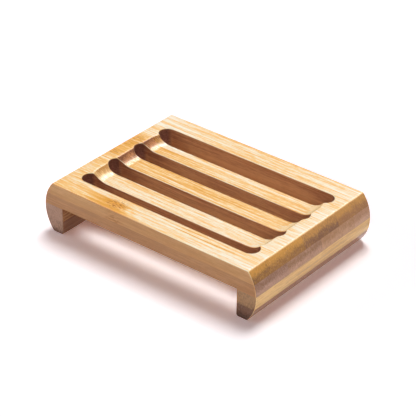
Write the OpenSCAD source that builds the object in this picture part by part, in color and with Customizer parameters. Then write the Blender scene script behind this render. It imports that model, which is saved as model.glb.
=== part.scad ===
// Slotted bamboo soap dish: a laminated board, hollowed for the bar of soap and
// slotted to drain, glued flat on two laminated feet. Its two ends are rounded
// in one sweep over board and feet. Origin: centre of the footprint, on the
// surface that the dish stands on. +X runs along the slots, +Z is up.

/* [Outline] */
// Overall length, from bulge to bulge of the rounded ends
body_l = 120.8; // [100:0.1:160]
// Overall width, along the feet
body_w = 83.8; // [76:0.1:110]
// How far the rounded ends swell past the edges of the top face
end_bulge = 4.7; // [3:0.1:6.5]

/* [Board] */
// Thickness of each of the board's two plies
board_ply_t = 5.75; // [5:0.05:8]

/* [Feet] */
// Thickness of each foot's two plies
foot_ply_t = 6.8; // [4:0.1:10]
// Width of a foot, from its inner face to the bulge of the rounded end
foot_w = 10.5; // [8.5:0.5:16]
// Radius of the rounded inner lower edge of each foot
foot_edge_r = 1.1; // [0.5:0.1:2]

/* [Drain slots] */
// Number of slots across the width
slot_n = 4; // [2:1:4]
// Width of a slot
slot_w = 8.4; // [7:0.1:10]
// Distance from one slot's centre line to the next
slot_pitch = 17.9; // [15:0.1:19]
// Gap between a slot's end and the inner face of the foot below it
slot_foot_gap = 0.1; // [0.1:0.1:6]

/* [Soap recess] */
// Depth of the recess below the top face
recess_d = 3.2; // [2:0.1:4.5]
// Radius of the hollow curve that the cutter's edge leaves round the recess
cove_r = 9; // [6:0.5:14]
// Radius of the flat disc under the cutter
cutter_flat_r = 5.5; // [3:0.1:8]
// Distance from a slot's end to the rim at the end of the recess
rim_inset = 1.1; // [0.5:0.1:6]
// Distance from the side rim of the recess to the outer wall of the outermost slot
rim_side_gap = 0.8; // [0.1:0.1:1]

/* [Bamboo strips] */
// Top ply, first glue line: distance behind the front slot's front wall
line_1_in = 1.3; // [0.5:0.05:6]
// Top ply, second glue line: distance in front of the second slot's rear wall
line_2_in = 0.6; // [0.3:0.05:6]
// Top ply, third glue line: distance behind the third slot's rear wall
line_3_in = 5.9; // [1:0.05:6.5]

/* [Hidden] */
$fn = 96;

// Run of every cutting shape past the face that it cuts
overrun = 1;

// Heights of the glue joints and of the whole dish
foot_joint_z = foot_ply_t;
foot_h = foot_ply_t * 2;
board_joint_z = foot_h + board_ply_t;
total_h = foot_h + board_ply_t * 2;

// Rounded ends: a circle about mid-height through the top and bottom edges
end_r = (end_bulge * end_bulge + total_h * total_h / 4) / (end_bulge * 2);
end_cx = body_l / 2 - end_r;
foot_inner_x = body_l / 2 - foot_w;

// Slots end just short of the feet, so each is open below over its whole length
slot_l = (foot_inner_x - slot_foot_gap) * 2;
slot_first_y = -slot_pitch * (slot_n - 1) / 2;

// Path of the recess cutter: its centre runs round this rectangle and within it
cove_run = sqrt(2 * cove_r * recess_d - recess_d * recess_d);
path_x = slot_l / 2 - rim_inset - cove_run - cutter_flat_r;
path_y = -slot_first_y + slot_w / 2 - rim_side_gap - cove_run - cutter_flat_r;
cutter_h = recess_d + overrun;

// Glue lines between strips, front to rear. The low ply is the top one turned about
top_lines = [
    -body_w / 2,
    slot_first_y - slot_w / 2 + line_1_in,
    slot_first_y + slot_pitch + slot_w / 2 - line_2_in,
    slot_first_y + slot_pitch * 2 + slot_w / 2 + line_3_in,
    body_w / 2
];
low_lines = [for (i = [4:-1:0]) -top_lines[i]];

// Colours of the bamboo
straw = "#F1CF9B";
honey = "#E2AA60";
sand = "#DDB27A";
tan = "#C99C66";
brown = "#9C7048";

// Extrudes an outline drawn in X and Z along the width, from y0 to y1
module along_width(y0, y1) {
    translate([0, y1, 0]) rotate([90, 0, 0]) linear_extrude(y1 - y0) children();
}

// Side outline of the whole dish between two heights, without the gap between the feet
module side_band(z0, z1) {
    intersection() {
        union() {
            translate([-end_cx, z0]) square([end_cx * 2, z1 - z0]);
            for (side = [-1, 1])
                translate([side * end_cx, total_h / 2]) circle(r = end_r);
        }
        translate([-body_l / 2, z0]) square([body_l, z1 - z0]);
    }
}

// One round-ended slot, seen from above
module slot_outline() {
    square([slot_l - slot_w, slot_w], center = true);
    for (side = [-1, 1])
        translate([side * (slot_l - slot_w) / 2, 0]) circle(d = slot_w);
}

// The cutting shapes of all slots, from under the board to above it
module drain_slots() {
    for (i = [0:slot_n - 1])
        translate([0, slot_first_y + i * slot_pitch, foot_h - overrun])
            linear_extrude(total_h - foot_h + overrun * 2) slot_outline();
}

// Half outline of the recess cutter, from its axis outwards, its sole at zero
module cutter_half() {
    intersection() {
        union() {
            square([cutter_flat_r, cutter_h]);
            translate([cutter_flat_r, cove_r]) circle(r = cove_r);
        }
        square([cutter_flat_r + cove_r, cutter_h]);
    }
}

// What the cutter sweeps: a flat floor with a hollow curve all the way round
module soap_recess() {
    translate([0, 0, total_h - recess_d]) {
        along_width(-path_y, path_y) {
            translate([-path_x, 0]) square([path_x * 2, cutter_h]);
            for (side = [0, 1])
                mirror([side, 0]) translate([path_x, 0]) cutter_half();
        }
        for (side = [0, 1])
            mirror([0, side, 0])
                translate([-path_x, path_y, 0])
                    rotate([90, 0, 90]) linear_extrude(path_x * 2) cutter_half();
        for (turn = [0, 1], side = [0, 1])
            mirror([turn, 0, 0]) mirror([0, side, 0])
                translate([path_x, path_y, 0]) rotate_extrude(angle = 90) cutter_half();
    }
}

// Strip number i of the top ply, cut by the slots and the recess
module top_strip(i) {
    difference() {
        along_width(top_lines[i], top_lines[i + 1]) side_band(board_joint_z, total_h);
        drain_slots();
        soap_recess();
    }
}

// Strip number i of the low ply, cut by the slots
module low_strip(i) {
    difference() {
        along_width(low_lines[i], low_lines[i + 1]) side_band(foot_h, board_joint_z);
        drain_slots();
    }
}

// One ply of the right foot, from height z0 to z1
module foot_ply(z0, z1) {
    along_width(-body_w / 2, body_w / 2) intersection() {
        side_band(z0, z1);
        translate([foot_inner_x, z0]) square([foot_w, z1 - z0]);
    }
}

// The lowest ply of the right foot, with its inner lower edge rounded
module foot_sole() {
    difference() {
        foot_ply(0, foot_joint_z);
        along_width(-body_w / 2 - overrun, body_w / 2 + overrun) difference() {
            translate([foot_inner_x - overrun, -overrun])
                square([foot_edge_r + overrun, foot_edge_r + overrun]);
            translate([foot_inner_x + foot_edge_r, foot_edge_r]) circle(r = foot_edge_r);
        }
    }
}

module top_strip_front() { color(straw) top_strip(0); }
module top_strip_front_mid() { color(straw) top_strip(1); }
module top_strip_rear_mid() { color(honey) top_strip(2); }
module top_strip_rear() { color(straw) top_strip(3); }

module low_strip_front() { color(sand) low_strip(0); }
module low_strip_front_mid() { color(sand) low_strip(1); }
module low_strip_rear_mid() { color(sand) low_strip(2); }
module low_strip_rear() { color(sand) low_strip(3); }

module foot_left_upper() { color(tan) mirror([1, 0, 0]) foot_ply(foot_joint_z, foot_h); }
module foot_left_lower() { color(brown) mirror([1, 0, 0]) foot_sole(); }
module foot_right_upper() { color(tan) foot_ply(foot_joint_z, foot_h); }
module foot_right_lower() { color(brown) foot_sole(); }

top_strip_front();
top_strip_front_mid();
top_strip_rear_mid();
top_strip_rear();
low_strip_front();
low_strip_front_mid();
low_strip_rear_mid();
low_strip_rear();
foot_left_upper();
foot_left_lower();
foot_right_upper();
foot_right_lower();
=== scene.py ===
"""The looks of a slotted bamboo soap dish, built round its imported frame.

The dish is made here as it is made in the workshop. One glued blank is shaped, hollowed for
the bar of soap, slotted and sanded. It is then taken apart again along its glue joints, so
that every strip and ply is a closed piece of its own and the worked surfaces run on over the
joints. All lengths are in metres.
"""

import logging
import math
from collections.abc import Callable, Iterator
from contextlib import contextmanager
from dataclasses import dataclass, field
from enum import Enum

import bmesh
import bpy
from mathutils import Matrix, Vector
from mathutils.bvhtree import BVHTree


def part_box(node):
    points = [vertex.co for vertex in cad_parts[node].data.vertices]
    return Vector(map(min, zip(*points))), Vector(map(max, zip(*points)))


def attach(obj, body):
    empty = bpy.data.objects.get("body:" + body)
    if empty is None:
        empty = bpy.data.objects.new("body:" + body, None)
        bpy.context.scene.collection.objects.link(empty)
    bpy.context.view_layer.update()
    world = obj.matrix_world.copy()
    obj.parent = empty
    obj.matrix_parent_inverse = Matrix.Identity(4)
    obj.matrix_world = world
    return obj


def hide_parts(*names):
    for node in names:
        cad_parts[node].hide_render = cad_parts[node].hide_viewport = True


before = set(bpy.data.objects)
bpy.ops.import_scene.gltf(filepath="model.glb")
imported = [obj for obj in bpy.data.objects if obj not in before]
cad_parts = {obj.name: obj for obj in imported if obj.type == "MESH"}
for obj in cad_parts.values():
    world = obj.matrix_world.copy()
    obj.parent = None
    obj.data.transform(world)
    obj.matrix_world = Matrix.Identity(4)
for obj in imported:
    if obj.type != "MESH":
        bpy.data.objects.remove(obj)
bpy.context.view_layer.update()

LOG = logging.getLogger("soap_dish")
Element = bmesh.types.BMVert | bmesh.types.BMEdge | bmesh.types.BMFace

MM = 0.001
TOUCH = 0.01 * MM
FLAT_ANGLE = math.radians(0.05)


class Cut(Enum):
    """What a boolean does with its cutter."""

    AWAY = "DIFFERENCE"
    KEEP = "INTERSECT"


class Pick(Enum):
    """Which elements of a mesh are picked."""

    CORNERS = "VERT"
    EDGES = "EDGE"
    FACES = "FACE"


def deselect_all() -> None:
    """Deselect every object."""
    bpy.ops.object.select_all(action="DESELECT")


def make_active(piece: bpy.types.Object) -> None:
    """Select one object alone and make it the active one.

    Args:
        piece: The object to work on.
    """
    deselect_all()
    piece.select_set(True)
    bpy.context.view_layer.objects.active = piece


def added(name: str) -> bpy.types.Object:
    """Name the primitive that was just added and settle its place and size in its mesh.

    Args:
        name: Name of the new object.

    Returns:
        The object, at the origin, unturned and unscaled.
    """
    piece = bpy.context.active_object
    piece.name = name
    make_active(piece)
    bpy.ops.object.transform_apply(location=True, rotation=True, scale=True)
    return piece


def apply_modifier(piece: bpy.types.Object, kind: str, **settings: object) -> None:
    """Add a modifier to a piece, set it up and apply it.

    Args:
        piece: The mesh object to change.
        kind: Type name of the modifier.
        settings: The modifier's own settings.
    """
    make_active(piece)
    bpy.ops.object.modifier_add(type=kind)
    modifier = piece.modifiers[-1]
    for name, value in settings.items():
        setattr(modifier, name, value)
    bpy.ops.object.modifier_apply(modifier=modifier.name)


def put_in_order(piece: bpy.types.Object) -> None:
    """Sort a mesh's corners and faces by their place.

    Edit mode leaves them in another order on each run, and a later cut would follow that.

    Args:
        piece: The mesh object, before it is shaded.
    """
    mesh = piece.data
    places = sorted(tuple(corner.co) for corner in mesh.vertices)
    numbers = {place: number for number, place in enumerate(places)}
    faces = []
    for face in mesh.polygons:
        loop = [numbers[tuple(mesh.vertices[index].co)] for index in face.vertices]
        first = loop.index(min(loop))
        faces.append(loop[first:] + loop[:first])
    mesh.clear_geometry()
    mesh.from_pydata(places, [], sorted(faces))


def pick_all() -> None:
    """Select all of the mesh that is being edited."""
    bpy.ops.mesh.select_all(action="SELECT")


@contextmanager
def editing(piece: bpy.types.Object) -> Iterator[None]:
    """Hold a piece in edit mode, with all of its mesh selected at the start.

    Args:
        piece: The mesh object to edit.

    Yields:
        Nothing. The piece stays in edit mode until the block ends.
    """
    make_active(piece)
    bpy.ops.object.mode_set(mode="EDIT")
    bpy.ops.mesh.select_mode(type="VERT")
    pick_all()
    yield
    bpy.ops.object.mode_set(mode="OBJECT")
    put_in_order(piece)


def pick(piece: bpy.types.Object, kind: Pick, wanted: Callable[[Element], bool]) -> None:
    """Select the corners, edges or faces that pass a test, and nothing else.

    Args:
        piece: The mesh object, in edit mode.
        kind: What to pick.
        wanted: Test of one bmesh element.
    """
    bpy.ops.mesh.select_all(action="DESELECT")
    bpy.ops.mesh.select_mode(type=kind.value)
    mesh = bmesh.from_edit_mesh(piece.data)
    elements = {Pick.CORNERS: mesh.verts, Pick.EDGES: mesh.edges, Pick.FACES: mesh.faces}
    for element in elements[kind]:
        element.select_set(wanted(element))
    mesh.select_flush_mode()
    bmesh.update_edit_mesh(piece.data)


def near(a: float, b: float) -> bool:
    """Say whether two lengths are the same, to a hundredth of a millimetre."""
    return abs(a - b) < TOUCH


def extrude_by(x: float = 0.0, y: float = 0.0, z: float = 0.0) -> None:
    """Extrude what is selected by a step along each axis."""
    bpy.ops.mesh.extrude_region_move(TRANSFORM_OT_translate={"value": (x, y, z)})


def mirror_mesh(piece: bpy.types.Object, across: tuple[bool, bool, bool]) -> None:
    """Complete a half or quarter shape by mirroring it at the origin.

    Args:
        piece: The open mesh on the positive side of each mirror.
        across: Whether to mirror in X, Y and Z.
    """
    apply_modifier(
        piece, "MIRROR", use_axis=across, use_mirror_merge=True, merge_threshold=TOUCH
    )


def make_solid(piece: bpy.types.Object) -> None:
    """Merge doubled corners, join flat faces and turn all faces outwards.

    Args:
        piece: The mesh object to clean.
    """
    with editing(piece):
        bpy.ops.mesh.remove_doubles(threshold=TOUCH)
        bpy.ops.mesh.dissolve_limited(angle_limit=FLAT_ANGLE)
        pick_all()
        bpy.ops.mesh.normals_make_consistent(inside=False)


def cut_with(piece: bpy.types.Object, cutter: bpy.types.Object, cut: Cut) -> None:
    """Cut a piece with another closed mesh and throw the cutter away.

    Args:
        piece: The mesh object that is cut.
        cutter: The closed cutting shape.
        cut: Whether the cutter's space is removed or kept.
    """
    apply_modifier(piece, "BOOLEAN", operation=cut.value, solver="EXACT", object=cutter)
    bpy.data.objects.remove(cutter)


@dataclass(frozen=True)
class Limits:
    """The outline and the heights of the dish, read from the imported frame.

    Attributes:
        top_half_length: Half the length of the top face, which no node's box gives.
    """

    half_length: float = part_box("foot_right_upper")[1].x
    half_width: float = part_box("top_strip_rear")[1].y
    height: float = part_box("top_strip_front")[1].z
    foot_inner_x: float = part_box("foot_right_upper")[0].x
    foot_top_z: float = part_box("foot_right_upper")[1].z
    board_joint_z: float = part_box("low_strip_front")[1].z
    top_half_length: float = 55.7 * MM


@dataclass
class Blank:
    """The whole dish as one worked piece, before it is taken apart at its joints.

    Attributes:
        column_step: Width of the cutter's columns where the slot runs through the cove.
        run_out_share: Share of its round edge by which a slot cutter widens past the surface.
        cutter_dip: How far a slot cutter starts below the underside.
        cutter_flat_r: Radius of the flat disc under the recess cutter.
        steps_to_rim: How many of the cove's steps lie below the rim, so that none ends on it.
        slot_margin: Width of the ring round the slots whose edges the slot cutters round.
    """

    limits: Limits = field(default_factory=Limits)
    end_steps: int = 40
    foot_edge_r: float = 1.1 * MM
    foot_edge_steps: int = 8
    slot_count: int = 4
    slot_w: float = 8.4 * MM
    slot_pitch: float = 17.9 * MM
    slot_half_length: float = 49.8 * MM
    slot_facets: int = 64
    column_step: float = 0.5 * MM
    run_out_share: float = 0.1
    cutter_dip: float = TOUCH * 4
    recess_depth: float = 3.2 * MM
    rim_half_length: float = 48.7 * MM
    rim_half_width: float = 30.25 * MM
    cove_r: float = 9.0 * MM
    cutter_flat_r: float = 5.5 * MM
    cove_steps: int = 10
    steps_to_rim: float = 8.9
    corner_steps: int = 18
    lip_ease: float = 0.45 * MM
    edge_ease: float = 0.4 * MM
    ease_steps: int = 3
    slot_margin: float = 0.6 * MM
    lip_angle: float = math.radians(20)
    edge_angle: float = math.radians(25)
    overrun: float = 1.0 * MM

    @property
    def first_slot_y(self) -> float:
        """Where the centre line of the front slot runs."""
        return -self.slot_pitch * (self.slot_count - 1) / 2

    def build(self) -> bpy.types.Object:
        """Shape, hollow, slot and sand the blank.

        Returns:
            The finished blank as one closed mesh at the origin.
        """
        blank = self.rough_out()
        cut_with(blank, self.recess_cutter(), Cut.AWAY)
        make_solid(blank)
        self.ease_lip(blank)
        surface = BVHTree.FromObject(blank, bpy.context.evaluated_depsgraph_get())
        for number in range(self.slot_count):
            slot_y = self.first_slot_y + number * self.slot_pitch
            cut_with(blank, self.slot_cutter(slot_y, surface), Cut.AWAY)
        make_solid(blank)
        self.ease_edges(blank)
        return blank

    def rough_out(self) -> bpy.types.Object:
        """Shape the board, the feet and the ends, on the right half, and mirror it.

        Returns:
            The closed blank without its recess and slots.
        """
        size = self.limits
        board_h = size.height - size.foot_top_z
        bpy.ops.mesh.primitive_cube_add(
            size=1,
            location=(size.top_half_length / 2, 0, size.foot_top_z + board_h / 2),
            scale=(size.top_half_length, size.half_width * 2, board_h),
        )
        blank = added("blank")
        end_r = self.end_radius()
        end_x = size.half_length - end_r
        half_turn = math.asin(size.height / 2 / end_r)
        with editing(blank):
            bpy.ops.mesh.bisect(plane_co=(size.foot_inner_x, 0, 0), plane_no=(1, 0, 0))
            pick(blank, Pick.FACES, lambda f: near(f.calc_center_median().z, size.foot_top_z)
                 and f.calc_center_median().x > size.foot_inner_x)
            extrude_by(z=-size.foot_top_z)
            pick(blank, Pick.FACES, lambda f: near(f.calc_center_median().x, 0)
                 or near(f.calc_center_median().x, size.top_half_length))
            bpy.ops.mesh.delete(type="FACE")
            pick(blank, Pick.EDGES, lambda e: all(
                near(v.co.x, size.top_half_length) and near(v.co.z, 0) for v in e.verts))
            bpy.ops.mesh.spin(
                steps=self.end_steps, angle=half_turn * 2,
                center=(end_x, 0, size.height / 2), axis=(0, 1, 0),
            )
            pick_all()
            bpy.ops.mesh.remove_doubles(threshold=TOUCH)
            for side in (-1, 1):
                pick(blank, Pick.CORNERS, lambda v: near(v.co.y, side * size.half_width)
                     and v.co.x > size.top_half_length - TOUCH)
                bpy.ops.mesh.edge_face_add()
            pick(blank, Pick.EDGES, lambda e: all(
                near(v.co.x, size.foot_inner_x) and near(v.co.z, 0) for v in e.verts))
            bpy.ops.mesh.bevel(
                offset=self.foot_edge_r, segments=self.foot_edge_steps, affect="EDGES"
            )
        mirror_mesh(blank, (True, False, False))
        make_solid(blank)
        return blank

    def end_radius(self) -> float:
        """Return the radius of the round ends, from their bulge and the height."""
        bulge = self.limits.half_length - self.limits.top_half_length
        return (bulge**2 + self.limits.height**2 / 4) / (bulge * 2)

    def rim_turn(self) -> float:
        """Return the slope of the cove where it meets the top face, in radians."""
        return math.acos(1 - self.recess_depth / self.cove_r)

    def cove_centre(self) -> tuple[float, float]:
        """Return the place of the cove cutter's axis in the recess's corner."""
        reach = self.cove_r * math.sin(self.rim_turn()) + self.cutter_flat_r
        return self.rim_half_length - reach, self.rim_half_width - reach

    def recess_cutter(self) -> bpy.types.Object:
        """Sweep the cove cutter round the recess: a quarter of it, mirrored twice.

        Returns:
            The closed space that the cutter clears, to above the top face.
        """
        floor_z = self.limits.height - self.recess_depth
        turn = self.rim_turn() * self.cove_steps / self.steps_to_rim
        path_x, path_y = self.cove_centre()
        bpy.ops.mesh.primitive_plane_add(size=self.cutter_flat_r, location=(0, 0, 0))
        cutter = added("recess_cutter")
        with editing(cutter):
            bpy.ops.mesh.merge(type="CENTER")
            bpy.ops.transform.translate(value=(path_x, path_y, floor_z))
            extrude_by(x=self.cutter_flat_r)
            bpy.ops.mesh.spin(
                steps=self.cove_steps, angle=turn,
                center=(path_x + self.cutter_flat_r, path_y, floor_z + self.cove_r),
                axis=(0, 1, 0),
            )
            extrude_by(x=-self.cutter_flat_r - self.cove_r * math.sin(turn))
            pick_all()
            bpy.ops.mesh.spin(
                steps=self.corner_steps, angle=math.pi / 2,
                center=(path_x, path_y, floor_z), axis=(0, 0, -1),
            )
            pick_all()
            bpy.ops.mesh.remove_doubles(threshold=TOUCH)
            pick(cutter, Pick.CORNERS, lambda v: near(v.co.x, path_x))
            extrude_by(x=-path_x)
            pick(cutter, Pick.CORNERS, lambda v: near(v.co.y, path_y))
            extrude_by(y=-path_y)
        mirror_mesh(cutter, (True, True, False))
        make_solid(cutter)
        return cutter

    def slot_cutter(self, y: float, surface: BVHTree) -> bpy.types.Object:
        """Make the cutter of one drain slot, which rounds the slot's edges over as it cuts.

        The slot leaves the flat underside over a round edge. The cutter's upper rings are laid
        on the hollowed top, so that the upper round edge follows the recess.

        Args:
            y: Where the slot's centre line runs.
            surface: The hollowed blank, to lay the upper rings on.

        Returns:
            The closed cutting shape, from just under the board to above it.
        """
        size = self.limits
        radius = self.slot_w / 2
        reach = self.slot_half_length - radius
        top_z = size.height + self.overrun
        rings = self.cutter_rings(top_z)
        bpy.ops.mesh.primitive_circle_add(
            vertices=self.slot_facets, radius=radius + rings[0][0], fill_type="NGON",
            location=(0, 0, rings[0][1]),
        )
        cutter = added("slot_cutter")
        with editing(cutter):
            for (out, z), (next_out, next_z) in zip(rings, rings[1:]):
                grow = (radius + next_out) / (radius + out)
                extrude_by(z=next_z - z)
                bpy.ops.transform.resize(value=(grow, grow, 1), center_override=(0, 0, 0))
            pick_all()
            bpy.ops.mesh.bisect(plane_co=(0, 0, 0), plane_no=(1, 0, 0), clear_inner=True)
            pick_all()
            bpy.ops.transform.translate(value=(reach, y, 0))
            pick(cutter, Pick.CORNERS, lambda v: near(v.co.x, reach))
            extrude_by(x=-reach)
            column_x = self.cove_centre()[0]
            while column_x < reach:
                pick_all()
                bpy.ops.mesh.bisect(plane_co=(column_x, 0, 0), plane_no=(1, 0, 0))
                column_x += self.column_step
            mesh = bmesh.from_edit_mesh(cutter.data)
            middle_z = (size.foot_top_z + size.height) / 2
            for corner in mesh.verts:
                if middle_z < corner.co.z < top_z - TOUCH:
                    above = Vector((corner.co.x, corner.co.y, top_z))
                    hit = surface.ray_cast(above, Vector((0, 0, -1)))[0]
                    corner.co.z += hit.z - size.height
            bmesh.update_edit_mesh(cutter.data)
        mirror_mesh(cutter, (True, False, False))
        make_solid(cutter)
        return cutter

    def cutter_rings(self, top_z: float) -> list[tuple[float, float]]:
        """List the rings of a slot cutter from the bottom to the top.

        Args:
            top_z: Height of the cutter's top.

        Returns:
            How far each ring stands out past the slot's wall, and its height.
        """
        size = self.limits
        ease = self.edge_ease
        turns = [math.pi / 2 * step / self.ease_steps for step in range(self.ease_steps + 1)]
        round_over = [(ease * (1 - math.cos(turn)), ease * (1 - math.sin(turn))) for turn in turns]
        rings = [(ease, size.foot_top_z - self.cutter_dip)]
        rings += [(out, size.foot_top_z + deep) for out, deep in reversed(round_over)]
        rings += [(out, size.height - deep) for out, deep in round_over[:-1]]
        run_out = ease * self.run_out_share
        rings += [(ease + run_out, size.height + run_out / 2), (ease + run_out, top_z)]
        return rings

    def ease_lip(self, blank: bpy.types.Object) -> None:
        """Round the lip between the recess and the top face.

        Args:
            blank: The hollowed blank, before its slots are cut.
        """
        size = self.limits
        inside_x = size.top_half_length - self.overrun
        inside_y = size.half_width - self.overrun
        with editing(blank):
            pick(blank, Pick.EDGES, lambda e: all(
                near(v.co.z, size.height) and abs(v.co.x) < inside_x and abs(v.co.y) < inside_y
                for v in e.verts) and e.calc_face_angle(0) > self.lip_angle)
            bpy.ops.mesh.bevel(
                offset=self.lip_ease, segments=self.ease_steps, affect="EDGES",
                clamp_overlap=False, loop_slide=False,
            )

    def ease_edges(self, blank: bpy.types.Object) -> None:
        """Round the edges round the outside. Those of the recess and slots are done.

        Args:
            blank: The hollowed and slotted blank.
        """
        size = self.limits
        inside_x = self.slot_half_length + self.slot_margin
        inside_y = size.half_width - self.overrun

        def outside(edge: bmesh.types.BMEdge) -> bool:
            """Say whether an edge is a sharp outward one, away from the slots.

            Args:
                edge: The edge to test.

            Returns:
                Whether to round it.
            """
            middle = (edge.verts[0].co + edge.verts[1].co) / 2
            if abs(middle.x) < inside_x and abs(middle.y) < inside_y:
                return False
            return edge.is_convex and edge.calc_face_angle(0) > self.edge_angle

        with editing(blank):
            pick(blank, Pick.EDGES, outside)
            bpy.ops.mesh.bevel(
                offset=self.edge_ease, segments=self.ease_steps, affect="EDGES",
                clamp_overlap=False, loop_slide=False,
            )


Colour = tuple[float, float, float, float]
Display = tuple[int, int, int]
Triple = tuple[float, float, float]
Range = tuple[float, float]
Fade = tuple[float, float, float, float]
Socket = bpy.types.NodeSocket

MIDDLE = 0.5
NOISE_MIDDLE = (MIDDLE, MIDDLE, MIDDLE)
NOISE_RANGE = (0.3, 0.7)
NOISE_ROUGHNESS = 0.55
SHIFT_SHARES = (1.0, 1.7, 2.3)


def colour(red: int, green: int, blue: int) -> Colour:
    """Return the linear colour of a display colour.

    Args:
        red: Level of red, from 0 to 255.
        green: Level of green.
        blue: Level of blue.

    Returns:
        The linear levels, and 1 for alpha.
    """
    def linear(level: int) -> float:
        """Undo the display curve of one channel."""
        share = level / 255
        return share / 12.92 if share <= 0.04045 else ((share + 0.055) / 1.055) ** 2.4
    return linear(red), linear(green), linear(blue), 1.0


@dataclass(frozen=True)
class Shade:
    """The pale and the deep colour between which one kind of face varies."""

    pale: Colour
    deep: Colour


def shade(pale: Display, deep: Display) -> Shade:
    """Return the shade between two display colours."""
    return Shade(colour(*pale), colour(*deep))


@dataclass(frozen=True)
class Layer:
    """A layer of noise: the size of its blotches in mm, a shift of its own and its height."""

    size: Triple
    shift: float
    height: float
    detail: float = 2.0


@dataclass(frozen=True)
class Patch:
    """A soft-edged place on a piece, in mm. Its strength deepens the tone, or pales it."""

    centre: Triple
    reach: Triple
    strength: float
    core_share: float = 0.2


def on_top(x: float, y: float, reach_x: float, reach_y: float, strength: float,
           depth: float = 3.0) -> Patch:
    """Return a patch of the top face, from its place, reach and strength."""
    return Patch((x, y, Limits.height / MM), (reach_x, reach_y, depth), strength)


@dataclass
class Graph:
    """The nodes of one material, with short calls that add a node and link its inputs."""

    tree: bpy.types.NodeTree

    @classmethod
    def of(cls, owner: bpy.types.ID) -> "Graph":
        """Switch a material or a world to nodes and clear them.

        Args:
            owner: The material or the world.

        Returns:
            Its graph, still empty.
        """
        owner.use_nodes = True
        owner.node_tree.nodes.clear()
        return cls(owner.node_tree)

    def add(self, kind: str, inputs: dict | None = None, **settings: object) -> bpy.types.Node:
        """Add a node, set it up, and fill or link its inputs.

        Args:
            kind: Type name of the node.
            inputs: Value or socket for each input, by its name or number.
            settings: The node's own settings.

        Returns:
            The new node.
        """
        node = self.tree.nodes.new(kind)
        for name, value in settings.items():
            setattr(node, name, value)
        for name, value in (inputs or {}).items():
            if isinstance(value, Socket):
                self.tree.links.new(value, node.inputs[name])
            else:
                node.inputs[name].default_value = value
        return node

    def math(self, operation: str, *values: object) -> Socket:
        """Return the result of one math step on numbers or sockets."""
        return self.add("ShaderNodeMath", dict(enumerate(values)), operation=operation).outputs[0]

    def total(self, *values: object) -> Socket:
        """Add up several numbers or sockets.

        Args:
            values: The numbers and sockets.

        Returns:
            Their sum.
        """
        result = values[0]
        for value in values[1:]:
            result = self.math("ADD", result, value)
        return result

    def vector(self, operation: str, *values: object) -> Socket:
        """Return the result of one vector step on vectors or sockets."""
        node = self.add("ShaderNodeVectorMath", dict(enumerate(values)), operation=operation)
        return node.outputs["Value" if operation == "LENGTH" else "Vector"]

    def span(self, value: object, low: float, high: float,
             new_low: float = 0.0, new_high: float = 1.0) -> Socket:
        """Return a smooth step of a value from one range to another.

        Args:
            value: The socket to read.
            low: Value that gives new_low.
            high: Value that gives new_high.
            new_low: Result at and past low.
            new_high: Result at and past high.

        Returns:
            The socket of the result.
        """
        inputs = {"Value": value, "From Min": low, "From Max": high,
                  "To Min": new_low, "To Max": new_high}
        node = self.add("ShaderNodeMapRange", inputs, interpolation_type="SMOOTHSTEP")
        return node.outputs["Result"]

    def mix(self, share: object, first: object, second: object) -> Socket:
        """Return a colour between two others."""
        inputs = {0: share, 6: first, 7: second}
        return self.add("ShaderNodeMix", inputs, data_type="RGBA").outputs[2]

    def tint(self, share: object, shades: Shade) -> Socket:
        """Return the colour at a share of the way from pale to deep."""
        return self.mix(share, shades.pale, shades.deep)

    def ramp(self, share: Socket, stops: tuple[tuple[float, Colour], ...]) -> Socket:
        """Return the colour at a place along a row of colour stops.

        Args:
            share: The place along the row, from 0 to 1.
            stops: Place and colour of each stop, in order.

        Returns:
            The socket of the colour.
        """
        node = self.add("ShaderNodeValToRGB", {0: share})
        elements = node.color_ramp.elements
        elements.remove(elements[-1])
        for number, (place, stop_colour) in enumerate(stops):
            element = elements.new(place) if number else elements[0]
            element.position = place
            element.color = stop_colour
        return node.outputs["Color"]

    def noise(self, coords: Socket, layer: Layer, shift: float) -> bpy.types.Node:
        """Return the noise texture of a layer.

        Args:
            coords: Place in mm, with the fibres along X.
            layer: The blotches to show.
            shift: How far the pattern is moved on this piece.

        Returns:
            The noise node.
        """
        fitted = self.add("ShaderNodeMapping", {
            "Vector": coords,
            "Scale": tuple(1 / length for length in layer.size),
            "Location": tuple((shift + layer.shift) * share for share in SHIFT_SHARES),
        }).outputs[0]
        return self.add("ShaderNodeTexNoise", {
            "Vector": fitted,
            "Scale": 1.0,
            "Detail": layer.detail,
            "Roughness": NOISE_ROUGHNESS,
        })

    def ripple(self, coords: Socket, layer: Layer, shift: float) -> Socket:
        """Return the noise of a layer, run from minus to plus its height."""
        noise = self.noise(coords, layer, shift).outputs[0]
        return self.span(noise, *NOISE_RANGE, -layer.height, layer.height)


class Fibres(Enum):
    """Which way a piece's fibres run: the turn about Z that lays them along X."""

    LENGTHWISE = 0.0
    CROSSWISE = -math.pi / 2


@dataclass(frozen=True)
class Grain:
    """What a bamboo material reads at each point: its place, its fibres and how it faces."""

    place: Socket
    spot: bpy.types.bpy_prop_collection
    facing: bpy.types.bpy_prop_collection
    fibre_place: Socket
    relief: Socket
    tone: Socket
    along: Socket
    across: Socket
    upward: Socket


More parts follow.
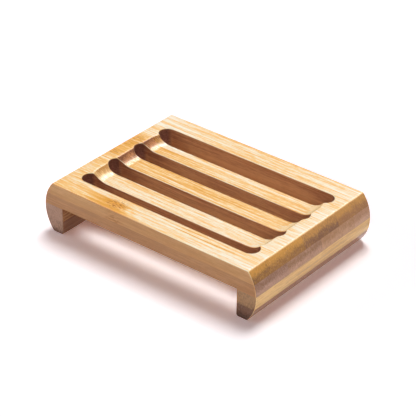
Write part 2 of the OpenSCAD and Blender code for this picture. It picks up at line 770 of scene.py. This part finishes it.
@dataclass(frozen=True)
class Bamboo:
    """A sanded and oiled bamboo strip. Its grain runs right through the solid.

    A face runs from cream to golden brown with its tone. Upright sides, slanted cuts, square
    cut ends and the walls of the slots have shades of their own. The walls' warm brown is
    darkened as painted shade inside the slots. Places are in mm. A Range says where something
    starts and where it is complete, and a Fade adds what it gives at either end.

    Attributes:
        cut: Slanted cuts on the left half of the dish, deeper as painted shade since they face
            away
        from the key light. Those on the right are painted_lit_right_cut, paler as painted light
        since they face it.
        shift: Moves the grain, so that no two pieces have the same.
        tone_slope: What each mm to the right adds to the tone. On most top strips it pales the
        right end, partly as the grain's own tone and partly as painted sheen.
        flecks: Places with the dark specks of a node mark.
        darkest_end_z: Height at which square cut ends are darkest. On the board it is the glue
            joint,
        and the ends pale away from it, partly as fibre ends and partly as painted light on the
        top edge. On the feet it lies low, so that their ends darken towards the floor as painted
        shade.
        slots_room: Half length and half width of the room that holds the slots.
    """

    name: str
    side: Shade
    cut: Shade
    end: Shade
    fibres: Fibres = Fibres.LENGTHWISE
    shift: float = 0.0
    tone: float = 0.5
    tone_slope: float = 0.0
    patches: tuple[Patch, ...] = ()
    flecks: tuple[Patch, ...] = ()
    slotted: bool = True
    darkest_end_z: float = Limits.board_joint_z / MM

    face: tuple[tuple[float, Colour], ...] = (
        (0.0, colour(255, 244, 224)),
        (0.25, colour(254, 230, 194)),
        (0.5, colour(252, 211, 148)),
        (0.75, colour(249, 190, 105)),
        (1.0, colour(233, 163, 54)),
    )
    fleck_colour: Colour = colour(180, 100, 18)
    # Painted light: slanted cuts on the right half, paler where they face the key light.
    painted_lit_right_cut: Shade = shade((255, 224, 170), (240, 168, 92))
    # Painted highlight of the eased edges: pale cream, and golden where deep.
    painted_edge_highlight: Shade = shade((255, 238, 198), (226, 148, 58))
    # Warm brown of the slot walls, darkened as painted shade inside the slots.
    wall: Shade = shade((226, 166, 114), (176, 110, 74))
    # Deeper brown on the slots' round ends, partly end grain and partly painted shade.
    wall_end: Shade = shade((150, 100, 82), (104, 62, 48))

    wander: Layer = Layer((70.0, 14.0, 14.0), 0.0, 1.6)
    streaks: tuple[Layer, ...] = (
        Layer((45.0, 1.0, 1.0), 17.0, 0.24),
        Layer((16.0, 0.5, 0.5), 3.0, 0.22),
        Layer((3.0, 0.5, 0.5), 7.0, 0.16),
    )
    bands: Layer = Layer((60.0, 5.0, 5.0), 11.0, 0.12)
    specks: Layer = Layer((2.2, 0.5, 0.5), 29.0, 1.0, detail=1.0)
    fibre_ends: Layer = Layer((30.0, 0.4, 1.0), 41.0, 0.3, detail=1.0)
    clouds: Layer = Layer((60.0, 6.0, 2.5), 47.0, 0.18)

    side_contrast: float = 0.9
    side_from: Range = (0.6, 0.9)
    speck_from: Range = (0.5, 0.58)
    slant_from: Range = (0.16, 0.5)
    square_from: Range = (0.72, 0.8)
    right_half_from: Range = (-1.0, 1.0)
    # Painted light: how much paler the right half's slanted cuts are.
    right_cut_painted_light: float = 0.4
    # How square cut ends deepen near their darkest height and pale away from it, partly as painted
    # light and shade.
    darkest_end_fade: Fade = (1.4, 4.6, 0.42, -0.4)
    # Steeper cuts deepen, partly as fibre ends and partly as painted shade.
    steep_fade: Fade = (0.3, 0.75, -0.2, 0.8)

    slots_room: Range = (51.0, 36.0)
    slats_half_width: float = 26.0
    front_edge_y: float = -41.0
    edge_from: Range = (0.1, 0.4)
    rearward_from: Range = (-0.05, 0.05)
    golden_front_from: Range = (20.0, -20.0)
    golden_ends_from: Range = (24.0, 38.0)
    # How strongly the painted edge highlight shows.
    edge_highlight_share: float = 0.85

    wall_from: Range = (0.4, 0.15)
    wall_end_from: Range = (0.1, 0.7)
    wall_contrast: float = 0.9
    wall_share: float = 0.4
    wall_height_fade: Fade = (15.0, 23.0, -0.3, 0.3)
    wall_length_fade: Fade = (28.0, 48.0, 0.0, 0.3)
    wall_rear_fade: Fade = (12.0, 30.0, 0.0, -0.25)

    roughness: float = 0.24
    relief_roughness: float = 0.15
    routed_roughness: float = 0.4
    rear_roughness: float = 0.3
    bump_strength: float = 0.3
    bump_depth: float = 0.06 * MM
    specular: float = 0.25
    ior: float = 1.45

    def material(self) -> bpy.types.Material:
        """Build the procedural material.

        Returns:
            The new material.
        """
        material = bpy.data.materials.new(self.name)
        graph = Graph.of(material)
        grain = self.grain(graph)
        base = self.cut_across(graph, grain, self.long_grain(graph, grain))
        rough = graph.math("MULTIPLY_ADD", grain.relief, self.relief_roughness, self.roughness)
        if self.slotted:
            # Painted highlights on the eased edges along the fibres.
            base = self.paint_edge_highlights(graph, grain, base)
            # Painted shade on the walls inside the slots.
            base = self.slot_walls(graph, grain, base)
            routed = self.routed(graph, grain)
            rough = graph.math("MULTIPLY_ADD", routed, self.routed_roughness, rough)
            rear_edges = self.rear_edges(graph, grain)
            rough = graph.math("MULTIPLY_ADD", rear_edges, self.rear_roughness, rough)
        bump = graph.add("ShaderNodeBump", {
            "Height": grain.relief, "Strength": self.bump_strength, "Distance": self.bump_depth})
        shader = graph.add("ShaderNodeBsdfPrincipled", {
            "Base Color": base,
            "Roughness": rough,
            "Normal": bump.outputs[0],
            "IOR": self.ior,
            "Specular IOR Level": self.specular,
        })
        graph.add("ShaderNodeOutputMaterial", {"Surface": shader.outputs[0]})
        return material

    def grain(self, graph: Graph) -> Grain:
        """Lay out the fibres: fine dashes and streaks along them, on slowly changing bands.

        Args:
            graph: The material's nodes.

        Returns:
            The sockets that the rest of the material reads.
        """
        coords = graph.add("ShaderNodeTexCoord").outputs
        place = graph.add("ShaderNodeMapping", {
            "Vector": coords["Object"], "Scale": (1 / MM, 1 / MM, 1 / MM)}).outputs[0]
        turned = graph.add("ShaderNodeMapping", {
            "Vector": place, "Rotation": (0.0, 0.0, self.fibres.value)}).outputs[0]
        drift = graph.noise(turned, self.wander, self.shift).outputs["Color"]
        drift = graph.vector("SUBTRACT", drift, NOISE_MIDDLE)
        drift = graph.vector("MULTIPLY", drift, (0.0, self.wander.height, self.wander.height))
        fibre_place = graph.vector("ADD", turned, drift)
        relief = graph.total(
            *(graph.ripple(fibre_place, layer, self.shift) for layer in self.streaks))
        tone = graph.total(
            relief, graph.ripple(fibre_place, self.bands, self.shift),
            *(self.patch_share(graph, place, patch) for patch in self.patches))
        facing = graph.add("ShaderNodeSeparateXYZ", {0: coords["Normal"]}).outputs
        along, across = ("Y", "X") if self.fibres is Fibres.CROSSWISE else ("X", "Y")
        return Grain(
            place=place,
            spot=graph.add("ShaderNodeSeparateXYZ", {0: place}).outputs,
            facing=facing,
            fibre_place=fibre_place,
            relief=relief,
            tone=tone,
            along=graph.math("ABSOLUTE", facing[along]),
            across=graph.math("ABSOLUTE", facing[across]),
            upward=graph.math("ABSOLUTE", facing["Z"]),
        )

    def patch_share(self, graph: Graph, place: Socket, patch: Patch) -> Socket:
        """Return how strongly a patch shows, from 0 outside it to its strength in the middle.

        Args:
            graph: The material's nodes.
            place: Place in mm.
            patch: The patch to show.

        Returns:
            The socket of the strength.
        """
        inside = graph.add("ShaderNodeMapping", {
            "Vector": place, "Location": patch.centre, "Scale": patch.reach,
        }, vector_type="TEXTURE").outputs[0]
        distance = graph.vector("LENGTH", inside)
        return graph.span(distance, 1.0, patch.core_share, 0.0, patch.strength)

    def long_grain(self, graph: Graph, grain: Grain) -> Socket:
        """Return the colour of the faces and sides that run along the fibres.

        Args:
            graph: The material's nodes.
            grain: What the material reads.

        Returns:
            The socket of the colour.
        """
        tone = graph.math("MULTIPLY_ADD", grain.spot["X"], self.tone_slope, self.tone)
        face = graph.ramp(graph.math("ADD", grain.tone, tone), self.face)
        share = graph.math("MULTIPLY_ADD", grain.tone, self.side_contrast, MIDDLE)
        side = graph.tint(share, self.side)
        base = graph.mix(graph.span(grain.across, *self.side_from), face, side)
        if self.flecks:
            speck = graph.noise(grain.fibre_place, self.specks, self.shift).outputs[0]
            speck = graph.span(speck, *self.speck_from)
            for patch in self.flecks:
                share = graph.math("MULTIPLY", self.patch_share(graph, grain.place, patch), speck)
                base = graph.mix(share, base, self.fleck_colour)
        return base

    def cut_across(self, graph: Graph, grain: Grain, base: Socket) -> Socket:
        """Return the colour with slanted cuts and square cut ends shown, dotted by fibre ends.

        Args:
            graph: The material's nodes.
            grain: What the material reads.
            base: Colour of the long grain.

        Returns:
            The socket of the colour.
        """
        dots = graph.ripple(grain.fibre_place, self.fibre_ends, self.shift)
        clouds = graph.ripple(grain.fibre_place, self.clouds, self.shift)
        # Distance from the height where the end grain is darkest, partly painted light and shade.
        depth = graph.math("ABSOLUTE", graph.math("SUBTRACT", grain.spot["Z"], self.darkest_end_z))
        share = graph.total(MIDDLE, dots, clouds, graph.span(depth, *self.darkest_end_fade))
        # Steep cuts deepen, partly as fibre ends and partly as painted shade.
        steep = graph.math("ADD", share, graph.span(grain.along, *self.steep_fade))
        # The left half's cuts are deeper, as painted shade, and the right half's are paler, as
        # painted light.
        left = graph.tint(steep, self.cut)
        right = graph.tint(graph.math("SUBTRACT", steep, self.right_cut_painted_light), self.painted_lit_right_cut)
        slanted = graph.mix(graph.span(grain.spot["X"], *self.right_half_from), left, right)
        base = graph.mix(graph.span(grain.along, *self.slant_from), base, slanted)
        square = graph.tint(share, self.end)
        return graph.mix(graph.span(grain.along, *self.square_from), base, square)

    def corner(self, graph: Graph, grain: Grain) -> Socket:
        """Return 1 on the eased edges that run along the fibres and 0 elsewhere."""
        return graph.span(graph.math("MULTIPLY", grain.across, grain.upward), *self.edge_from)

    def rear_edges(self, graph: Graph, grain: Grain) -> Socket:
        """Find the eased rear edges of the front rail and the slats.

        Args:
            graph: The material's nodes.
            grain: What the material reads.

        Returns:
            A socket with 1 on these edges and 0 elsewhere.
        """
        rearward = graph.span(grain.facing["Y"], *self.rearward_from)
        before_rail = graph.math("LESS_THAN", grain.spot["Y"], self.slots_room[1])
        rearward = graph.math("MULTIPLY", rearward, before_rail)
        return graph.math("MULTIPLY", self.corner(graph, grain), rearward)

    def paint_edge_highlights(self, graph: Graph, grain: Grain, base: Socket) -> Socket:
        """Return the colour with painted highlights on the eased edges along the fibres.

        The painted highlights are pale cream, but golden on the rear edges of the slats, on their
        right ends and on the left half of the front edge.

        Args:
            graph: The material's nodes.
            grain: What the material reads.
            base: Colour of the rest.

        Returns:
            The socket of the colour.
        """
        front = graph.math("LESS_THAN", grain.spot["Y"], self.front_edge_y)
        front = graph.math("MULTIPLY", front, graph.span(grain.spot["X"], *self.golden_front_from))
        middle = graph.math("ABSOLUTE", grain.spot["Y"])
        ends = graph.math("LESS_THAN", middle, self.slats_half_width)
        ends = graph.math("MULTIPLY", ends, graph.span(grain.spot["X"], *self.golden_ends_from))
        golden = graph.math("MAXIMUM", graph.math("MAXIMUM", front, ends),
                            self.rear_edges(graph, grain))
        share = graph.math("MULTIPLY", self.corner(graph, grain), self.edge_highlight_share)
        return graph.mix(share, base, graph.tint(golden, self.painted_edge_highlight))

    def routed(self, graph: Graph, grain: Grain) -> Socket:
        """Find the upright walls of the slots.

        Args:
            graph: The material's nodes.
            grain: What the material reads.

        Returns:
            A socket with 1 on these walls and 0 elsewhere.
        """
        length, width = self.slots_room
        reach = graph.vector("MULTIPLY", grain.place, (1 / length, 1 / width, 0.0))
        reach = graph.add("ShaderNodeSeparateXYZ", {0: graph.vector("ABSOLUTE", reach)}).outputs
        inside = graph.math("LESS_THAN", graph.math("MAXIMUM", reach["X"], reach["Y"]), 1.0)
        return graph.math("MULTIPLY", inside, graph.span(grain.upward, *self.wall_from))

    def slot_walls(self, graph: Graph, grain: Grain, base: Socket) -> Socket:
        """Return the colour with the walls of the slots shown in warm brown, darkened as painted
        shade inside the slots. The brown deepens towards the top of the walls, towards and on
        their round ends, and pales in the rear slots.

        Args:
            graph: The material's nodes.
            grain: What the material reads.
            base: Colour of the rest.

        Returns:
            The socket of the colour.
        """
        share = graph.total(
            graph.math("MULTIPLY_ADD", grain.relief, self.wall_contrast, self.wall_share),
            graph.span(grain.spot["Z"], *self.wall_height_fade),
            graph.span(graph.math("ABSOLUTE", grain.spot["X"]), *self.wall_length_fade),
            graph.span(grain.spot["Y"], *self.wall_rear_fade),
        )
        wall = graph.tint(share, self.wall)
        wall_end = graph.tint(share, self.wall_end)
        wall = graph.mix(graph.span(grain.along, *self.wall_end_from), wall, wall_end)
        return graph.mix(self.routed(graph, grain), base, wall)


@dataclass
class Lamination:
    """Pieces taken out of the blank along its glue joints, each a closed mesh of its own."""

    slot: str = ""
    overrun: float = 1.0 * MM
    smooth_angle: float = math.radians(35)

    def finishes(self) -> dict[str, Bamboo]:
        """Return the finish of each piece, by the name of the CAD node that it stands for."""
        raise NotImplementedError

    def build(self, blank: bpy.types.Object) -> None:
        """Cut out each piece, dress it and give it its place in the frame.

        Args:
            blank: The finished blank, which is left whole.
        """
        for node, finish in self.finishes().items():
            piece = self.take_out(blank, node)
            piece.data.materials.clear()
            piece.data.materials.append(finish.material())
            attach(piece, "root")
            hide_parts(node)
            LOG.info("%s: %d faces, %s", piece.name, len(piece.data.polygons), finish.name)

    def take_out(self, blank: bpy.types.Object, node: str) -> bpy.types.Object:
        """Keep what a copy of the blank has between the glue joints round one node.

        Args:
            blank: The finished blank.
            node: Name of the CAD node.

        Returns:
            The piece, with smooth curves and crisp joints.
        """
        piece = blank.copy()
        piece.data = blank.data.copy()
        piece.name = "dressed_" + node
        bpy.context.collection.objects.link(piece)
        low, high = self.room(node)
        bpy.ops.mesh.primitive_cube_add(size=1, location=(low + high) / 2, scale=high - low)
        cut_with(piece, added("room_cutter"), Cut.KEEP)
        make_solid(piece)
        make_active(piece)
        bpy.ops.object.shade_smooth_by_angle(angle=self.smooth_angle)
        apply_modifier(piece, "WEIGHTED_NORMAL", keep_sharp=True)
        return piece

    def room(self, node: str) -> tuple[Vector, Vector]:
        """Return the box between a node's glue joints, let out where the dish ends.

        Args:
            node: Name of the CAD node.

        Returns:
            The lowest and the highest corner.
        """
        size = Limits()
        low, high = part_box(node)
        dish = (
            (-size.half_length, size.half_length),
            (-size.half_width, size.half_width),
            (0.0, size.height),
        )
        for axis, (dish_low, dish_high) in enumerate(dish):
            if near(low[axis], dish_low) or axis == 0 and low.x < -size.foot_inner_x - TOUCH:
                low[axis] -= self.overrun
            if near(high[axis], dish_high) or axis == 0 and high.x > size.foot_inner_x + TOUCH:
                high[axis] += self.overrun
        return low, high


@dataclass
class TopPly(Lamination):
    """Three of the four strips of the board's top ply, which are pale straw."""

    slot: str = "bamboo_straw"

    def finishes(self) -> dict[str, Bamboo]:
        """Return the finish of each straw strip of the top ply.

        Returns:
            The finish, by the name of the CAD node.
        """
        straw = {
            "side": shade((243, 188, 132), (216, 152, 96)),
            "cut": shade((255, 216, 150), (206, 148, 84)),
        }
        shaded = shade((228, 172, 98), (160, 100, 52))
        return {
            "top_strip_front": Bamboo(
                "bamboo_front_rail", **straw, shift=1.3, tone=0.42, tone_slope=-0.0022,
                end=shade((214, 154, 76), (146, 102, 64)),
                patches=(
                    Patch((-32.0, -42.0, 22.0), (34.0, 1.4, 3.0), -0.25),
                    on_top(-24.0, -38.0, 18.0, 6.0, 0.6, depth=4.0),
                    on_top(-24.0, -36.5, 9.0, 3.0, 0.3),
                    on_top(-32.0, -40.6, 36.0, 1.6, 0.35),
                    on_top(-34.0, -33.0, 9.0, 2.2, -0.25),
                    on_top(-14.0, -38.0, 3.0, 1.6, -0.4),
                    on_top(12.0, -32.5, 26.0, 2.2, 0.2),
                    on_top(26.0, -35.2, 30.0, 0.7, 0.5),
                    on_top(20.0, -33.0, 24.0, 0.6, 0.4),
                ),
                flecks=(
                    on_top(-21.5, -37.2, 7.5, 4.6, 1.0),
                    on_top(-20.0, -33.5, 3.5, 1.8, 0.8),
                    Patch((-19.0, -41.9, 20.0), (7.0, 1.5, 6.0), 0.5),
                ),
            ),
            "top_strip_front_mid": Bamboo(
                "bamboo_front_slat", **straw, shift=5.1, tone=0.44, tone_slope=-0.0015,
                end=shade((218, 158, 80), (160, 112, 68)),
                patches=(
                    on_top(-53.0, -9.0, 8.0, 8.0, 0.2),
                    # Paler at the right end, partly as painted sheen.
                    on_top(53.0, -18.0, 9.0, 16.0, -0.05),
                ),
            ),
            "top_strip_rear": Bamboo(
                "bamboo_rear_rail", **straw | {"cut": shaded}, shift=14.9, tone=0.32,
                tone_slope=0.0008,
                end=shade((206, 150, 84), (168, 118, 80)),
                patches=(
                    on_top(0.0, 41.0, 90.0, 9.0, 0.3),
                    on_top(-52.0, 24.0, 10.0, 8.0, 0.22),
                    # Paler at the right end, partly as painted sheen.
                    on_top(54.0, 30.0, 9.0, 16.0, -0.05),
                ),
            ),
        }


@dataclass
class HoneyStrip(Lamination):
    """The honey coloured strip of the top ply, with its node mark at the left end."""

    slot: str = "bamboo_honey"

    def finishes(self) -> dict[str, Bamboo]:
        """Return the finish of the honey strip.

        Returns:
            The finish, by the name of the CAD node.
        """
        return {
            "top_strip_rear_mid": Bamboo(
                "bamboo_honey_slat", shift=9.7, tone=0.62, tone_slope=-0.0026,
                side=shade((238, 180, 120), (210, 142, 84)),
                cut=shade((220, 152, 98), (128, 80, 54)),
                end=shade((204, 148, 84), (142, 100, 74)),
                patches=(
                    on_top(-54.0, 7.0, 10.0, 14.0, 0.2),
                    # Paler at the right end, partly as painted sheen.
                    on_top(55.0, 7.0, 11.0, 22.0, -0.24),
                ),
                flecks=(
                    on_top(-52.5, 12.5, 4.0, 7.0, 0.55),
                    on_top(-52.5, -2.5, 4.0, 4.0, 0.5),
                ),
            ),
        }


MAUVE_CUT = shade((208, 158, 122), (168, 120, 92))


@dataclass
class LowPly(Lamination):
    """The four strips of the board's low ply, tan and a little pinker than the top."""

    slot: str = "bamboo_core"
    first_shift: float = 21.0
    shift_step: float = 5.3

    def finishes(self) -> dict[str, Bamboo]:
        """Return the finish of each strip of the low ply.

        Returns:
            The finish, by the name of the CAD node.
        """
        mauve = {
            "side": shade((224, 166, 118), (194, 134, 88)),
            "cut": MAUVE_CUT,
        }
        ends = {
            "low_strip_front": shade((204, 158, 134), (158, 116, 92)),
            "low_strip_front_mid": shade((210, 162, 134), (168, 124, 94)),
            "low_strip_rear_mid": shade((216, 166, 132), (184, 136, 98)),
            "low_strip_rear": shade((220, 172, 144), (186, 138, 104)),
        }
        patches = (
            Patch((-48.0, -42.0, 16.5), (18.0, 2.0, 5.0), -0.2),
            Patch((-4.0, -42.0, 16.5), (26.0, 2.0, 5.0), 0.14),
        )
        return {
            node: Bamboo(
                "bamboo_" + node, **mauve, end=end, tone=0.6,
                shift=self.first_shift + self.shift_step * number,
                patches=patches if node == "low_strip_front" else (),
            )
            for number, (node, end) in enumerate(ends.items())
        }


@dataclass
class Feet(Lamination):
    """The two plies of each foot, with their fibres across the board's.

    Attributes:
        pale_outside: How far out the feet are palest, and that patch's reach and strength.
        painted_inside_shade: The same for the inner faces, darkened as painted shade under the
            board.
        run: How far both patches reach along the feet and up, well past their ends.
    """

    slot: str = "bamboo_foot"
    first_shift: float = 47.0
    shift_step: float = 6.1
    pale_outside: Triple = (60.0, 9.0, -0.36)
    # Painted shade: the inner faces of the feet, under the board, are darker.
    painted_inside_shade: Triple = (49.9, 1.0, 0.45)
    middle_z: float = 7.0
    run: Range = (300.0, 100.0)

    def finishes(self) -> dict[str, Bamboo]:
        """Return the finish of each ply of the two feet.

        Returns:
            The finish, by the name of the CAD node.
        """
        pale = shade((255, 207, 140), (176, 116, 82))
        # The lower plies are darker, partly as their own tone and partly as painted shade near the
        # floor.
        taupe = shade((190, 142, 114), (152, 106, 84))
        # The last value of each ply is the height of its darkest end grain, set low so that the
        # ends darken towards the floor as painted shade.
        plies = {
            "foot_left_upper": (pale, shade((206, 160, 136), (172, 128, 106)), 2.0),
            "foot_left_lower": (taupe, shade((204, 158, 134), (140, 104, 88)), -1.0),
            "foot_right_upper": (pale, shade((204, 156, 114), (140, 102, 82)), 4.4),
            "foot_right_lower": (taupe, shade((156, 114, 94), (104, 76, 64)), 0.5),
        }
        return {
            node: Bamboo(
                "bamboo_" + node, side, MAUVE_CUT, end, fibres=Fibres.CROSSWISE,
                shift=self.first_shift + self.shift_step * number, tone=0.6,
                slotted=False, darkest_end_z=darkest_end_z,
                patches=tuple(
                    Patch((x * way, 0.0, self.middle_z), (reach, *self.run), strength)
                    for way in (-1, 1)
                    for x, reach, strength in (self.pale_outside, self.painted_inside_shade)
                ),
            )
            for number, (node, (side, end, darkest_end_z)) in enumerate(plies.items())
        }


@dataclass(frozen=True)
class Lamp:
    """A soft lamp that is far away.

    Attributes:
        angle: How wide the lamp looks from the dish, in radians.
        gloss_only: Whether the lamp shows as gloss alone. The others give light alone.
    """

    name: str
    towards: Triple
    strength: float
    angle: float
    gloss_only: bool = False
    spares_floor: bool = False

    def hang(self, floor: bpy.types.Object) -> None:
        """Add the lamp to the scene.

        Args:
            floor: The studio floor, which some lamps leave unlit.
        """
        bpy.ops.object.light_add(type="SUN", location=self.towards)
        lamp = bpy.context.active_object
        lamp.name = self.name
        lamp.data.energy = self.strength
        lamp.data.angle = self.angle
        lamp.rotation_euler = Vector(self.towards).to_track_quat("Z", "Y").to_euler()
        lamp.visible_diffuse = not self.gloss_only
        lamp.visible_glossy = self.gloss_only
        if self.spares_floor:
            receivers = bpy.data.collections.new("all_but_the_floor")
            receivers.objects.link(floor)
            receivers.collection_objects[0].light_linking.link_state = "EXCLUDE"
            lamp.light_linking.receiver_collection = receivers


@dataclass(frozen=True)
class Studio:
    """A pale floor, soft lamps and the camera.

    The key light stands high behind the dish. Weaker lamps fill in at the left front, at the
    right front and at the right, and three more show as gloss alone.
    """

    floor_size: float = 8.0
    floor_colour: Colour = (0.65, 0.65, 0.65, 1.0)
    seen_floor: Colour = (1.29, 1.27, 1.31, 1.0)
    floor_glow: Colour = (0.06, 0.0, 0.0, 1.0)
    sky: float = 0.03
    lamps: tuple[Lamp, ...] = (
        Lamp("key_light", (-0.2, 0.42, 1.0), 2.2, math.radians(30)),
        Lamp("front_left_light", (-1.43, -1.02, 0.6), 0.8, math.radians(25)),
        Lamp("front_right_light", (1.0, -1.2, 1.0), 0.55, math.radians(25)),
        Lamp("right_light", (1.0, 0.0, 0.42), 0.94, math.radians(20), spares_floor=True),
        Lamp("cove_gloss", (-0.2, 0.665, 0.72), 3.0, math.radians(24), gloss_only=True),
        Lamp("edge_gloss", (-0.53, 0.05, 0.85), 1.4, math.radians(30), gloss_only=True),
        Lamp("rim_gloss", (-0.53, -0.5, 0.65), 3.0, math.radians(24), gloss_only=True),
    )
    azimuth: float = math.radians(38.649)
    elevation: float = math.radians(31.611)
    roll: float = math.radians(0.665)
    distance: float = 864.8 * MM
    target: Triple = (0.407 * MM, 0.121 * MM, 14.474 * MM)
    lens: float = 166.19
    sensor: float = 36.0
    nearest: float = 10.0 * MM

    def build(self) -> None:
        """Set up the floor, the light and the camera."""
        floor = self.lay_floor()
        self.hang_sky()
        for lamp in self.lamps:
            lamp.hang(floor)
        self.place_camera()
        bpy.context.scene.view_settings.view_transform = "Standard"

    def shown_share(self, graph: Graph) -> Socket:
        """Tell what the camera sees from what lights the dish.

        Args:
            graph: The nodes of the floor or the sky.

        Returns:
            A socket with 1 for what is seen, straight on or mirrored in a shiny surface.
        """
        path = graph.add("ShaderNodeLightPath").outputs
        share = graph.math("MAXIMUM", path["Is Camera Ray"], path["Is Glossy Ray"])
        return graph.math("MAXIMUM", share, path["Is Transmission Ray"])

    def lay_floor(self) -> bpy.types.Object:
        """Lay a pale matt floor that shows white and keeps the dish's shadow.

        Returns:
            The floor.
        """
        bpy.ops.mesh.primitive_plane_add(size=self.floor_size, location=(0, 0, 0))
        floor = added("studio_floor")
        material = bpy.data.materials.new("studio_paper")
        graph = Graph.of(material)
        paper = graph.add("ShaderNodeBsdfDiffuse", {"Color": self.floor_colour})
        seen = graph.add("ShaderNodeBsdfDiffuse", {"Color": self.seen_floor})
        glow = graph.add("ShaderNodeEmission", {"Color": self.floor_glow, "Strength": 1.0})
        lifted = graph.add("ShaderNodeAddShader", {0: seen.outputs[0], 1: glow.outputs[0]})
        shown = graph.add("ShaderNodeMixShader", {
            0: self.shown_share(graph), 1: paper.outputs[0], 2: lifted.outputs[0]})
        graph.add("ShaderNodeOutputMaterial", {"Surface": shown.outputs[0]})
        floor.data.materials.append(material)
        return floor

    def hang_sky(self) -> None:
        """Put an even pale sky round the dish, which shows white."""
        world = bpy.data.worlds.new("studio_sky")
        graph = Graph.of(world)
        white = colour(255, 255, 255)
        even = graph.add("ShaderNodeBackground", {"Color": white, "Strength": self.sky})
        seen = graph.add("ShaderNodeBackground", {"Color": white, "Strength": 1.0})
        shown = graph.add("ShaderNodeMixShader", {
            0: self.shown_share(graph), 1: even.outputs[0], 2: seen.outputs[0]})
        graph.add("ShaderNodeOutputWorld", {"Surface": shown.outputs[0]})
        bpy.context.scene.world = world

    def place_camera(self) -> None:
        """Put the camera where the photograph was taken from."""
        level = math.cos(self.elevation)
        back = Vector((
            math.sin(self.azimuth) * level,
            -math.cos(self.azimuth) * level,
            math.sin(self.elevation),
        ))
        right = (-back).cross(Vector((0, 0, 1))).normalized()
        up = right.cross(-back)
        turned_right = right * math.cos(self.roll) + up * math.sin(self.roll)
        turned_up = up * math.cos(self.roll) - right * math.sin(self.roll)
        bpy.ops.object.camera_add(location=Vector(self.target) + back * self.distance)
        camera = bpy.context.active_object
        camera.name = "camera"
        camera.rotation_euler = Matrix((turned_right, turned_up, back)).transposed().to_euler()
        camera.data.lens = self.lens
        camera.data.sensor_width = self.sensor
        camera.data.clip_start = self.nearest
        bpy.context.scene.camera = camera


def main() -> None:
    """Build the dish and the studio, in order."""
    logging.basicConfig(level=logging.INFO, format="%(name)s: %(message)s")
    deselect_all()
    Studio().build()
    blank = Blank().build()
    for ply in (TopPly(), HoneyStrip(), LowPly(), Feet()):
        ply.build(blank)
    bpy.data.objects.remove(blank)


if __name__ == "__main__":
    main()
